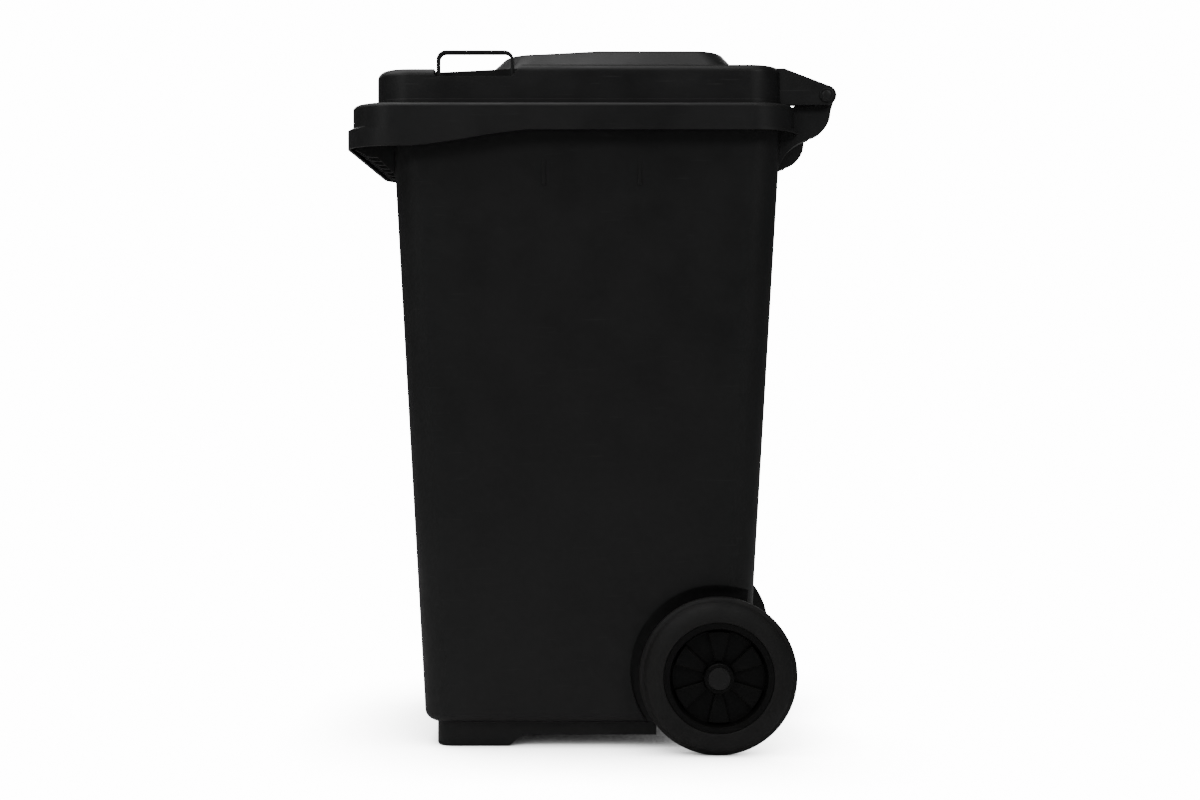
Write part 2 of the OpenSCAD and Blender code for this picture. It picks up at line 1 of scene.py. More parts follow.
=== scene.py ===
from math import atan2, cos, degrees, hypot, pi, radians, sin
import bmesh
import bpy
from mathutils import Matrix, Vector


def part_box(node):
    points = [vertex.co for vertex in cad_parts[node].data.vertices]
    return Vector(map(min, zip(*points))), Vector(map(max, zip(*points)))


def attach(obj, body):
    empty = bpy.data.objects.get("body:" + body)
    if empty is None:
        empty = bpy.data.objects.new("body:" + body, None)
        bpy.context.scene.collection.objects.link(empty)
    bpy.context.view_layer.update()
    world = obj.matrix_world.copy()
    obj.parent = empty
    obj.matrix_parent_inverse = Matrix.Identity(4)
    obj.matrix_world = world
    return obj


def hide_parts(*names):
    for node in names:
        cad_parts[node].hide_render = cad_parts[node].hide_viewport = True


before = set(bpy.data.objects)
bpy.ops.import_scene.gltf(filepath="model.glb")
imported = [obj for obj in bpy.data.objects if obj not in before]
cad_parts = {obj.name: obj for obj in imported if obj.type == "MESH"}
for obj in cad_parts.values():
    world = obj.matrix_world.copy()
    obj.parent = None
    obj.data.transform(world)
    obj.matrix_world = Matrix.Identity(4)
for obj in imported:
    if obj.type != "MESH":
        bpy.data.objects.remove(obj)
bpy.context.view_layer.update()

# ---------------------------------------------------------------- tub
# The tub, its rim collar and its foot are one thin-walled moulding in black polyethylene.
# It is drawn as the outer skin of the moulding, which then gets its wall inwards and upwards.
lid_gap = 0.0025
rim_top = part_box("lid")[0].z - lid_gap
wall = 0.004
under_rim = rim_top - wall
axle_low, axle_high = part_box("axle")
axle_y = (axle_low.y + axle_high.y) / 2
axle_z = (axle_low.z + axle_high.z) / 2
tub_floor = 0.038
half_low, half_top = 0.219, 0.246
front_low, front_top = -0.256, -0.305
back_low, back_top = 0.236, 0.289
tub_corner = 0.042
tub_foot_round = 0.016
arch_x = 0.210
arch_r = 0.131


def only(piece):
    """Makes one piece the only one selected, and the active one."""
    bpy.ops.object.select_all(action="DESELECT")
    piece.select_set(True)
    bpy.context.view_layer.objects.active = piece


def block(name, low, high):
    """A rectangular block between two corners, with its place in its mesh."""
    low, high = Vector(low), Vector(high)
    bpy.ops.object.select_all(action="DESELECT")
    bpy.ops.mesh.primitive_cube_add(size=1, location=(low + high) / 2, scale=high - low)
    bpy.ops.object.transform_apply(location=True, rotation=True, scale=True)
    piece = bpy.context.object
    piece.name = name
    return piece


def edit(piece):
    only(piece)
    bpy.ops.object.mode_set(mode="EDIT")
    bpy.ops.mesh.select_mode(type="FACE")
    bpy.ops.mesh.select_all(action="SELECT")


def done():
    bpy.ops.object.mode_set(mode="OBJECT")


def pick(kind, test):
    """Selects the vertices, edges or faces that pass a test, on the piece in edit mode."""
    bpy.ops.mesh.select_mode(type=kind)
    bpy.ops.mesh.select_all(action="DESELECT")
    skin = bmesh.from_edit_mesh(bpy.context.object.data)
    for part in {"VERT": skin.verts, "EDGE": skin.edges, "FACE": skin.faces}[kind]:
        if test(part):
            part.select_set(True)
    skin.select_flush_mode()
    bmesh.update_edit_mesh(bpy.context.object.data)


def mid(edge):
    return (edge.verts[0].co + edge.verts[1].co) / 2


def upright(edge):
    return abs((edge.verts[1].co - edge.verts[0].co).normalized().z) > 0.9


def move(x, y, z):
    bpy.ops.transform.translate(value=(x, y, z))


def stretch(factors, centre):
    bpy.ops.transform.resize(value=factors, center_override=centre)


def round_off(radius, steps):
    """Rounds the selected edges."""
    bpy.ops.mesh.bevel(offset=radius, offset_type="OFFSET", segments=steps, profile=0.5, affect="EDGES")


def slice_at(point, normal):
    bpy.ops.mesh.bisect(plane_co=point, plane_no=normal)


def apply(piece, kind, **settings):
    """Adds a modifier to a piece and applies it."""
    only(piece)
    bpy.ops.object.modifier_add(type=kind)
    modifier = piece.modifiers[-1]
    for key, value in settings.items():
        setattr(modifier, key, value)
    bpy.ops.object.modifier_apply(modifier=modifier.name)


def cut_away(piece, cutter):
    """Takes the cutter's shape out of a piece."""
    apply(piece, "BOOLEAN", operation="DIFFERENCE", object=cutter, solver="MANIFOLD")
    bpy.data.objects.remove(cutter)


def weld_on(piece, other):
    """Makes another closed shape one with a piece."""
    apply(piece, "BOOLEAN", operation="UNION", object=other, solver="MANIFOLD")
    bpy.data.objects.remove(other)


def traced(name, outline, x0, x1):
    """A plate cut to a side-on outline of (depth, height), between two widths."""
    bpy.ops.object.select_all(action="DESELECT")
    bpy.ops.mesh.primitive_plane_add(size=0.001)
    piece = bpy.context.object
    piece.name = name
    edit(piece)
    bpy.ops.mesh.select_mode(type="VERT")
    bpy.ops.mesh.merge(type="CENTER")
    here = Vector((x0, *outline[0]))
    move(*here)
    for point in outline[1:]:
        there = Vector((x0, *point))
        bpy.ops.mesh.extrude_vertices_move(TRANSFORM_OT_translate={"value": there - here})
        here = there
    bpy.ops.mesh.select_all(action="SELECT")
    bpy.ops.mesh.edge_face_add()
    bpy.ops.mesh.extrude_region_move(TRANSFORM_OT_translate={"value": (x1 - x0, 0, 0)})
    bpy.ops.mesh.select_all(action="SELECT")
    bpy.ops.mesh.normals_make_consistent(inside=False)
    done()
    return piece


def arc(y, z, radius, start, end, steps=8):
    """Points of (depth, height) round part of a circle, in degrees from the rear upwards."""
    angles = [radians(start + (end - start) * i / steps) for i in range(steps + 1)]
    return [(y + radius * cos(a), z + radius * sin(a)) for a in angles]


def ease_edges(piece, width, angle=50, steps=2):
    """Takes the sharpness off a piece's edges."""
    apply(piece, "BEVEL", width=width, segments=steps, limit_method="ANGLE", angle_limit=radians(angle))


def shade(piece, angle=35):
    """Smooth shading, kept crisp at edges sharper than the angle, with the large faces flat."""
    only(piece)
    bpy.ops.object.shade_smooth_by_angle(angle=radians(angle))
    apply(piece, "WEIGHTED_NORMAL", keep_sharp=True)


def paint(piece, material):
    """Gives the whole piece one material."""
    piece.data.materials.clear()
    piece.data.materials.append(material)
    for face in piece.data.polygons:
        face.material_index = 0


def twin(piece, name):
    """The same piece for the other side of the bin."""
    only(piece)
    bpy.ops.object.duplicate()
    other = bpy.context.object
    other.name = name
    edit(other)
    stretch((-1, 1, 1), (0, 0, 0))
    bpy.ops.mesh.normals_make_consistent(inside=False)
    done()
    return other


def rod(name, start, end, radius, steps=64):
    """A straight round rod along X between two places."""
    bpy.ops.object.select_all(action="DESELECT")
    bpy.ops.mesh.primitive_cylinder_add(vertices=steps, radius=radius, depth=abs(end[0] - start[0]),
        location=(Vector(start) + Vector(end)) / 2, rotation=(0, pi / 2, 0))
    bpy.ops.object.transform_apply(location=True, rotation=True, scale=True)
    piece = bpy.context.object
    piece.name = name
    return piece


tub = block("tub", (-half_low, front_low, tub_floor), (half_low, back_low, under_rim))
edit(tub)
pick("FACE", lambda f: f.normal.z > 0.9)
stretch((half_top / half_low, (back_top - front_top) / (back_low - front_low), 1),
    (0, (front_low + back_low) / 2, under_rim))
move(0, (front_top + back_top - front_low - back_low) / 2, 0)
pick("EDGE", upright)
round_off(tub_corner, 8)
pick("EDGE", lambda e: max(v.co.z for v in e.verts) < tub_floor + 0.0001)
round_off(tub_foot_round, 5)

# The plinth under the tub, with the foot in front that stands on the ground.
plinth_z = 0.018
plinth_back = 0.098
foot_back = -0.128
foot_slope = 0.023
foot_round = 0.004
plinth_step = 0.0025
broad_face = 0.05
pick("FACE", lambda f: f.normal.z < -0.9 and f.calc_area() > broad_face)
bpy.ops.mesh.inset(thickness=plinth_step, depth=0)
slice_at((0, plinth_back, 0), (0, 1, 0))
pick("FACE", lambda f: f.normal.z < -0.9 and f.calc_area() > broad_face
    and f.calc_center_median().y < plinth_back)
bpy.ops.mesh.extrude_region_move(TRANSFORM_OT_translate={"value": (0, 0, plinth_z - tub_floor)})
slice_at((0, foot_back, 0), (0, 1, 0))
pick("FACE", lambda f: f.normal.z < -0.9 and f.calc_center_median().z < plinth_z + 0.001)
slice_at((0, foot_back + foot_slope, 0), (0, 1, 0))
pick("VERT", lambda v: v.co.z < plinth_z + 0.001 and v.co.y < foot_back + 0.0001)
move(0, 0, -plinth_z)
pick("EDGE", lambda e: max(v.co.z for v in e.verts) < 0.0001 and mid(e).y < foot_back - 0.001)
round_off(foot_round, 3)
done()

# A shallow arch in each side clears the wheel, and a bay at the rear takes the axle.
for side in (-1, 1):
    arch_from, arch_to = side * arch_x, side * (arch_x + 0.1)
    cut_away(tub, rod("arch", (arch_from, axle_y, axle_z), (arch_to, axle_y, axle_z), arch_r, 128))
bay_front = 0.125
bay_roof = 0.158
bay_half = 0.200
bay_round = 0.03
bay = block("bay", (-bay_half, bay_front, -0.05), (bay_half, 0.4, bay_roof))
edit(bay)
pick("EDGE", lambda e: mid(e).z > bay_roof - 0.001 and mid(e).y < bay_front + 0.001)
round_off(bay_round, 6)
done()
cut_away(tub, bay)
edit(tub)
bpy.ops.mesh.remove_doubles(threshold=0.0009)
pick("FACE", lambda f: f.normal.z > 0.9 and f.calc_center_median().z > under_rim - 0.001)
bpy.ops.mesh.delete(type="ONLY_FACE")
done()

# The rim collar: a skirt round the tub's mouth, deeper at the front, where a lip steps out.
collar_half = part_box("bin_body")[1].x - wall
collar_front = -0.358
collar_back = 0.303
collar_corner = 0.060
skirt_low = 0.907
skirt_rise = 0.024
ledge_z = 0.934
lip_out = 0.00795
rear_flare = 0.005
slope_from, slope_to = -0.267, -0.094
rim_edge = 0.003
collar = block("collar", (-collar_half, collar_front, skirt_low), (collar_half, collar_back, under_rim))
edit(collar)
pick("EDGE", upright)
round_off(collar_corner, 8)
pick("FACE", lambda f: abs(f.normal.z) > 0.9)
bpy.ops.mesh.delete(type="ONLY_FACE")
for z in (ledge_z - 0.0015, ledge_z + 0.0015):
    bpy.ops.mesh.select_all(action="SELECT")
    slice_at((0, 0, z), (0, 0, 1))
front_centre = collar_front + collar_corner
back_centre = collar_back - collar_corner
pick("VERT", lambda v: v.co.z < ledge_z and v.co.y < front_centre - 0.0001)
stretch((1, 1 + lip_out / collar_corner, 1), (0, front_centre, skirt_low))
pick("VERT", lambda v: v.co.z < ledge_z and v.co.y > back_centre + 0.0001)
stretch((1, 1 + rear_flare / collar_corner, 1), (0, back_centre, skirt_low))
stations = 8
for i in range(stations + 1):
    y = slope_from + (slope_to - slope_from) * i / stations
    pick("FACE", lambda f: f.calc_center_median().z < ledge_z - 0.003)
    slice_at((0, y, 0), (0, 1, 0))
for i in range(1, stations + 1):
    share = i / stations
    y = slope_from + (slope_to - slope_from) * share
    ease = 0.6 * share + 0.4 * share * share * (3 - 2 * share)
    pick("VERT", lambda v: v.co.z < skirt_low + 0.0001 and abs(v.co.y - y) < 0.0005)
    move(0, 0, skirt_rise * ease)
pick("VERT", lambda v: v.co.z < skirt_low + 0.0001 and v.co.y > slope_to)
move(0, 0, skirt_rise)
done()
only(tub)
collar.select_set(True)
bpy.ops.object.join()
edit(tub)
pick("EDGE", lambda e: e.is_boundary and mid(e).z > under_rim - 0.0001)
bpy.ops.mesh.fill(use_beauty=True)
bpy.ops.mesh.tris_convert_to_quads()
bpy.ops.mesh.select_all(action="SELECT")
bpy.ops.mesh.normals_make_consistent(inside=False)
tub_faces = bmesh.from_edit_mesh(tub.data).faces
side_face = max(tub_faces, key=lambda f: f.calc_area() * (abs(f.normal.x) > 0.9))
if side_face.normal.x * side_face.calc_center_median().x < 0:
    bpy.ops.mesh.flip_normals()
pick("EDGE", lambda e: len(e.link_faces) == 2 and mid(e).z > under_rim - 0.0001
    and (abs(mid(e).x) > 0.25 or not -0.32 < mid(e).y < 0.2915)
    and abs(e.link_faces[0].normal.z) + abs(e.link_faces[1].normal.z) < 1.5)
round_off(rim_edge, 4)
done()
apply(tub, "SOLIDIFY", thickness=wall, offset=-1, use_even_offset=True)
edit(tub)
bpy.ops.mesh.remove_doubles(threshold=0.0001)
done()
ease_edges(tub, 0.001)

# Ribs under the rim: the lifting comb in front, then gussets along the sides and at the corners.
comb_low = 0.897
comb_pitch = 0.052
rib_low = 0.852
rib_t = 0.005
rise = (rib_low - tub_floor) / (under_rim - tub_floor)
half_there = half_low + (half_top - half_low) * rise
front_there = front_low + (front_top - front_low) * rise
back_there = back_low + (back_top - back_low) * rise
rib_top = under_rim + wall / 2
for i in range(-4, 5):
    rib = traced("rib", [(collar_front, rib_top), (collar_front - 0.002, skirt_low + 0.001),
        (-0.346, comb_low + 0.004), (-0.342, comb_low + 0.001), (-0.336, comb_low), (-0.326, comb_low),
        (-0.297, 0.868), (front_top + 0.002, rib_top)], i * comb_pitch - rib_t / 2, i * comb_pitch + rib_t / 2)
    ease_edges(rib, 0.0008, 60)
    weld_on(tub, rib)


def gusset(place, turn, reach):
    """A hollowed rib that braces the rim, reaching outwards in the direction turned to."""
    drop = rib_top - rib_low
    turns = [radians(a) for a in range(0, 91, 10)]
    curve = [(reach * (1 - sin(a)), -drop * (1 - cos(a))) for a in turns]
    lean = half_top - half_there - 0.002
    rib = traced("rib", [(lean, 0)] + curve + [(-0.003, -drop)], -rib_t / 2, rib_t / 2)
    ease_edges(rib, 0.0008, 60)
    edit(rib)
    bpy.ops.transform.rotate(value=radians(turn), orient_axis="Z", center_override=(0, 0, 0))
    move(*place)
    done()
    weld_on(tub, rib)


side_rib_y = 0.072
corner_in = 0.014
for side in (-1, 1):
    for y in (-side_rib_y, side_rib_y):
        gusset((side * half_there, y, rib_top), side * -90, collar_half - half_there)
    gusset((side * (half_there - corner_in), front_there + corner_in, rib_top), side * -135, 0.048)
    gusset((side * (half_there - corner_in), back_there - corner_in, rib_top), side * -45, 0.034)

# The two brackets that hold the hinge pins sweep down onto the tub's back, with the grip bar between.
pin_head_r = 0.0107
hinge_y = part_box("hinge_pin_right")[0].y + pin_head_r
hinge_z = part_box("hinge_pin_right")[0].z + pin_head_r
bracket_in, bracket_out = 0.181, 0.207
boss_r = 0.015
grip_r, grip_hollow_r = 0.014, 0.010
pin_hole_r = 0.00705
for side in (-1, 1):
    bracket = traced("bracket", arc(hinge_y, hinge_z, boss_r, 130, 0, 10)
        + arc(hinge_y - 0.033, hinge_z - 0.023, 0.041, 0, -78, 10)
        + arc(hinge_y - 0.010, hinge_z - 0.127, 0.0635, 104, 154, 10)
        + [(back_there, hinge_z - 0.110), (back_top - 0.002, rib_top),
        (collar_back - 0.002, rib_top + 0.001)],
        side * bracket_in, side * bracket_out)
    ease_edges(bracket, 0.0012, 60)
    weld_on(tub, bracket)
grip_end = bracket_in + 0.002
grip = rod("grip", (-grip_end, hinge_y, hinge_z), (grip_end, hinge_y, hinge_z), grip_r)
weld_on(tub, grip)
hollow_from, hollow_to = (-bracket_in, hinge_y, hinge_z), (bracket_in, hinge_y, hinge_z)
cut_away(tub, rod("hollow", hollow_from, hollow_to, grip_hollow_r, 48))
for side in (-1, 1):
    cut_away(tub, rod("pin_hole", (side * (bracket_in - 0.001), hinge_y, hinge_z),
        (side * (bracket_out + 0.001), hinge_y, hinge_z), pin_hole_r, 48))

# Lugs in the bay and bosses in the cheeks carry the axle.
lug_in, lug_out = 0.065, 0.075
axle_boss_r, axle_hole_r = 0.025, 0.0103
for side in (-1, 1):
    lug = traced("lug", [(bay_front - 0.001, bay_roof + 0.001), (bay_front - 0.001, axle_z - 0.020),
        (axle_y - 0.025, axle_z - 0.030), (axle_y + 0.022, axle_z - 0.030), (0.233, bay_roof - 0.020),
        (0.241, bay_roof + 0.001)], side * lug_in, side * lug_out)
    ease_edges(lug, 0.001, 30)
    weld_on(tub, lug)
    weld_on(tub, rod("boss", (side * (bay_half + 0.0005), axle_y, axle_z),
        (side * (arch_x - 0.0005), axle_y, axle_z), axle_boss_r))
cut_away(tub, rod("axle_hole", (-arch_x - 0.01, axle_y, axle_z), (arch_x + 0.01, axle_y, axle_z), axle_hole_r))

# What the moulded plastic looks like: shared node groups for mottling, grain, scratches and worn edges.
def add(tree, kind, inputs, **settings):
    """Adds a shader node. Each input is a value to set or a socket to link from."""
    node = tree.nodes.new("ShaderNode" + kind)
    for key, value in settings.items():
        setattr(node, key, value)
    for key, value in inputs.items():
        if isinstance(value, bpy.types.NodeSocket):
            tree.links.new(value, node.inputs[key])
        else:
            node.inputs[key].default_value = value
    return node


def group(name, takes, gives):
    """A new node group: its tree, its inner inputs and its inner outputs."""
    tree = bpy.data.node_groups.new(name, "ShaderNodeTree")
    for label, kind in takes.items():
        tree.interface.new_socket(name=label, in_out="INPUT", socket_type="NodeSocket" + kind)
    for label, kind in gives.items():
        tree.interface.new_socket(name=label, in_out="OUTPUT", socket_type="NodeSocket" + kind)
    return tree, tree.nodes.new("NodeGroupInput").outputs, tree.nodes.new("NodeGroupOutput").inputs


def use(tree, inner, inputs):
    """Puts a shared group into a material."""
    node = tree.nodes.new("ShaderNodeGroup")
    node.node_tree = inner
    for key, value in inputs.items():
        if isinstance(value, bpy.types.NodeSocket):
            tree.links.new(value, node.inputs[key])
        else:
            node.inputs[key].default_value = value
    return node


mottle, taken, given = group("mottle",
    {"Vector": "Vector", "Scale": "Float", "Low": "Float", "High": "Float"}, {"Value": "Float"})
broad = add(mottle, "TexNoise", {"Vector": taken["Vector"], "Scale": taken["Scale"],
    "Detail": 4.0, "Roughness": 0.6})
mottle.links.new(add(mottle, "MapRange", {"Value": broad.outputs["Fac"], "From Min": 0.35, "From Max": 0.65,
    "To Min": taken["Low"], "To Max": taken["High"]}).outputs["Result"], given["Value"])

grained, taken, given = group("grain", {"Vector": "Vector", "Strength": "Float"}, {"Normal": "Vector"})
fine = add(grained, "TexNoise", {"Vector": taken["Vector"], "Scale": 900.0, "Detail": 2.0})
soft = add(grained, "TexNoise", {"Vector": taken["Vector"], "Scale": 9.0, "Detail": 1.0})
wavy = add(grained, "Bump", {"Height": soft.outputs["Fac"], "Strength": 0.09, "Distance": 0.004})
grained.links.new(add(grained, "Bump", {"Height": fine.outputs["Fac"], "Strength": taken["Strength"],
    "Distance": 0.0002, "Normal": wavy.outputs["Normal"]}).outputs["Normal"], given["Normal"])

scratches, taken, given = group("scratches",
    {"Vector": "Vector", "Scale": "Float", "Cut": "Float"}, {"Mask": "Float"})
turnings = []
for tilt, stretch_by in ((62, 14.0), (28, 20.0)):
    turned_to = add(scratches, "Mapping", {"Vector": taken["Vector"], "Rotation": (radians(tilt), 0.0, 0.0),
        "Scale": (6.0, 1.0, stretch_by)})
    lines = add(scratches, "TexNoise",
        {"Vector": turned_to.outputs["Vector"], "Scale": taken["Scale"], "Detail": 1.0})
    turnings.append(add(scratches, "MapRange", {"Value": lines.outputs["Fac"], "From Min": taken["Cut"],
        "From Max": 0.86}).outputs["Result"])
either = add(scratches, "Math", {0: turnings[0], 1: turnings[1]}, operation="MAXIMUM")
scratches.links.new(either.outputs["Value"], given["Mask"])

worn, taken, given = group("worn_edges", {"Vector": "Vector", "Width": "Float"}, {"Mask": "Float"})
rounded = add(worn, "Bevel", {"Radius": taken["Width"]}, samples=4)
surface = worn.nodes.new("ShaderNodeNewGeometry")
bend = add(worn, "VectorMath", {0: rounded.outputs["Normal"], 1: surface.outputs["Normal"]},
    operation="DOT_PRODUCT")
edge = add(worn, "MapRange", {"Value": bend.outputs["Value"], "From Min": 0.985, "From Max": 0.80})
patchy = add(worn, "TexNoise", {"Vector": taken["Vector"], "Scale": 60.0, "Detail": 3.0})
patches = add(worn, "MapRange", {"Value": patchy.outputs["Fac"], "From Min": 0.40, "From Max": 0.70})
rubbed_patches = add(worn, "Math", {0: edge.outputs["Result"], 1: patches.outputs["Result"]},
    operation="MULTIPLY")
worn.links.new(rubbed_patches.outputs["Value"], given["Mask"])


def moulded(name, dark, light, rough, grain=1.0, scratched=0.35, low_dust_and_sheen=0.0, gloss=0.5):
    """A near-black moulded material between two tones, with its roughness range, its wear, and low dust with a
    painted floor reflection.
    """
    material = bpy.data.materials.new(name)
    material.use_nodes = True
    tree = material.node_tree
    shader = tree.nodes["Principled BSDF"]
    place = tree.nodes.new("ShaderNodeTexCoord").outputs["Object"]
    tone = use(tree, mottle, {"Vector": place, "Scale": 7.0, "Low": 0.0, "High": 1.0})
    colour = add(tree, "Mix", {"Factor": tone.outputs["Value"], "A": (*dark, 1), "B": (*light, 1)},
        data_type="RGBA")
    marks = use(tree, scratches, {"Vector": place, "Scale": 16.0, "Cut": 0.70})
    marked = add(tree, "Math", {0: marks.outputs["Mask"], 1: 0.5 * scratched}, operation="MULTIPLY")
    scored = add(tree, "Mix", {"Factor": marked.outputs["Value"], "A": colour.outputs["Result"],
        "B": (0.07, 0.07, 0.07, 1)}, data_type="RGBA")
    edges = use(tree, worn, {"Vector": place, "Width": 0.0012})
    rubbed = add(tree, "Math", {0: edges.outputs["Mask"], 1: 0.5}, operation="MULTIPLY")
    rubbed_colour = add(tree, "Mix", {"Factor": rubbed.outputs["Value"], "A": scored.outputs["Result"],
        "B": (0.045, 0.045, 0.046, 1)}, data_type="RGBA")
    # Lighter in patches towards the ground, below 0.34 m: settled dust, and a painted reflection of the pale floor
    # on the low sides.
    height = add(tree, "SeparateXYZ", {"Vector": place})
    low_down = add(tree, "MapRange", {"Value": height.outputs["Z"], "From Min": 0.34, "From Max": 0.02})
    dust_and_sheen_patches = use(tree, mottle, {"Vector": place, "Scale": 24.0, "Low": 0.3, "High": 1.0})
    dust_and_sheen_mask = add(tree, "Math", {0: low_down.outputs["Result"], 1: dust_and_sheen_patches.outputs["Value"]},
        operation="MULTIPLY")
    dust_and_sheen_amount = add(tree, "Math", {0: dust_and_sheen_mask.outputs["Value"], 1: 0.03 * low_dust_and_sheen}, operation="MULTIPLY")
    dust_and_sheen_colour = add(tree, "Mix", {"Factor": dust_and_sheen_amount.outputs["Value"], "A": rubbed_colour.outputs["Result"],
        "B": (0.20, 0.19, 0.18, 1)}, data_type="RGBA")
    tree.links.new(dust_and_sheen_colour.outputs["Result"], shader.inputs["Base Color"])
    sheen = use(tree, mottle, {"Vector": place, "Scale": 13.0, "Low": rough[0], "High": rough[1]})
    tree.links.new(sheen.outputs["Value"], shader.inputs["Roughness"])
    skin = use(tree, grained, {"Vector": place, "Strength": 0.25 * grain})
    tree.links.new(skin.outputs["Normal"], shader.inputs["Normal"])
    shader.inputs["IOR"].default_value = 1.49
    shader.inputs["Specular IOR Level"].default_value = gloss
    return material


shade(tub)
tub_dark, tub_light = (0.0095, 0.0096, 0.0100), (0.0135, 0.0136, 0.0140)
paint(tub, moulded("tub_black", tub_dark, tub_light, (0.42, 0.56), low_dust_and_sheen=0.5))
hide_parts("bin_body")
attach(tub, "bin")

# ---------------------------------------------------------------- lid
# The lid is a thin-walled cap in the same black polyethylene, with a raised dome on top.
# Its two loop handles and its two hinge arms are moulded on.
lid_wall = 0.0035
bead_out = 0.0015
bead_h = 0.005
lid_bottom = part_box("lid")[0].z
lid_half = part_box("lid")[1].x - bead_out
lid_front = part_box("lid")[0].y + bead_out
dome_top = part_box("lid")[1].z
lid_back = 0.289
lid_top = 1.0325
lid_corner = 0.052
lid_round = 0.012
front_drop = 0.0065
scoop_ramp = 0.014
hollow_x, hollow_z = 0.212, 1.0135
hollow_front, hollow_back = -0.236, -0.119
lid = block("lid_cap", (-lid_half, lid_front, lid_bottom), (lid_half, lid_back, lid_top))
edit(lid)
pick("EDGE", upright)
round_off(lid_corner, 10)
pick("EDGE", lambda e: min(v.co.z for v in e.verts) > lid_top - 0.0001)
round_off(lid_round, 6)
pick("FACE", lambda f: True)
slice_at((0, hollow_back + scoop_ramp, 0), (0, 1, 0))
pick("FACE", lambda f: True)
slice_at((0, hollow_front, 0), (0, 1, 0))
pick("VERT", lambda v: v.co.y < hollow_front + 0.0001 and v.co.z > lid_top - lid_round - 0.0001)
move(0, 0, -front_drop)
done()

# The dome leans in on all four sides and meets the flat top in a soft crease.
dome_half, dome_front, dome_back = 0.182, -0.166, 0.229
dome_lean = 0.029
dome_front_corner, dome_back_corner = 0.048, 0.036
dome_edge, dome_crease = 0.007, 0.004
dome_dip, dip_from = 0.005, 0.010
sunk = 0.006
low_out = sunk * (dome_lean / (dome_top - lid_top))
dome_middle = (dome_top + lid_top - sunk) / 2
dome = block("dome", (-dome_half - low_out, dome_front - low_out, lid_top - sunk),
    (dome_half + low_out, dome_back + low_out, dome_top))
edit(dome)
pick("FACE", lambda f: f.normal.z > 0.9)
span = dome_back - dome_front
stretch(((dome_half - dome_lean) / (dome_half + low_out), (span - 2 * dome_lean) / (span + 2 * low_out), 1),
    (0, (dome_front + dome_back) / 2, dome_top))
pick("EDGE", lambda e: abs(mid(e).z - dome_middle) < 0.001 and mid(e).y < 0)
round_off(dome_front_corner, 10)
pick("EDGE", lambda e: abs(mid(e).z - dome_middle) < 0.001 and mid(e).y > 0
    and abs(e.verts[0].co.x) > 0.12 and hypot(*(e.verts[1].co - e.verts[0].co).xy) > 0.02)
round_off(dome_back_corner, 10)
pick("EDGE", lambda e: min(v.co.z for v in e.verts) > dome_top - 0.0001)
round_off(dome_edge, 5)
pick("FACE", lambda f: True)
slice_at((0, dip_from, 0), (0, 1, 0))
pick("VERT", lambda v: v.co.y < -0.05 and v.co.z > lid_top + 0.03)
move(0, 0, -dome_dip)
done()
weld_on(lid, dome)
edit(lid)
pick("EDGE", lambda e: all(abs(v.co.z - lid_top) < 0.00005 for v in e.verts)
    and abs(mid(e).x) < dome_half + 0.002 and dome_front - 0.002 < mid(e).y < dome_back + 0.002
    and not e.is_boundary
    and max(f.normal.z for f in e.link_faces) - min(f.normal.z for f in e.link_faces) > 0.1)
round_off(dome_crease, 3)
done()

# A scoop in each top edge lets fingers under the loop handles.
for side in (-1, 1):
    scoop = traced("scoop", [(hollow_front, lid_top + 0.01), (hollow_front, hollow_z + 0.003),
        (hollow_front + 0.003, hollow_z), (hollow_back, hollow_z), (hollow_back + scoop_ramp, lid_top),
        (hollow_back + scoop_ramp, lid_top + 0.01)], side * hollow_x, side * (lid_half + 0.01))
    cut_away(lid, scoop)
edit(lid)
pick("FACE", lambda f: True)
slice_at((0, 0, lid_bottom + bead_h), (0, 0, 1))
pick("FACE", lambda f: f.calc_center_median().z < lid_bottom + bead_h and abs(f.normal.z) < 0.5)
bpy.ops.mesh.extrude_region_shrink_fatten(
    TRANSFORM_OT_shrink_fatten={"value": bead_out, "use_even_offset": True})
pick("FACE", lambda f: f.normal.z < -0.9 and f.calc_center_median().z < lid_bottom + 0.0005)
bpy.ops.mesh.delete(type="ONLY_FACE")
bpy.ops.mesh.select_all(action="SELECT")
bpy.ops.mesh.delete_loose()
bpy.ops.mesh.select_all(action="SELECT")
bpy.ops.mesh.remove_doubles(threshold=0.0009)
bpy.ops.mesh.dissolve_degenerate(threshold=0.0003)
done()
ease_edges(lid, 0.0007, 40)
apply(lid, "SOLIDIFY", thickness=lid_wall, offset=-1, use_even_offset=True)

# Loop handles: a flat bar bent to a hoop that stands on the lid's edge.
handle_front, handle_back = -0.233, -0.117
handle_top, handle_t, handle_r = 1.054, 0.0045, 0.014
handle_mid, handle_half = 0.235, 0.010
foot_z = hollow_z - 0.002
for side in (-1, 1):
    hoop = traced("hoop", [(handle_front, foot_z)]
        + arc(handle_front + handle_r, handle_top - handle_r, handle_r, 180, 90)
        + arc(handle_back - handle_r, handle_top - handle_r, handle_r, 90, 0)
        + [(handle_back, foot_z), (handle_back - handle_t, foot_z)]
        + arc(handle_back - handle_r, handle_top - handle_r, handle_r - handle_t, 0, 90)
        + arc(handle_front + handle_r, handle_top - handle_r, handle_r - handle_t, 90, 180)
        + [(handle_front + handle_t, foot_z)],
        side * (handle_mid - handle_half), side * (handle_mid + handle_half))
    ease_edges(hoop, 0.0015, 50, 3)
    weld_on(lid, hoop)
arm_in, arm_out = 0.209, 0.224
arm_bore_r = 0.00706
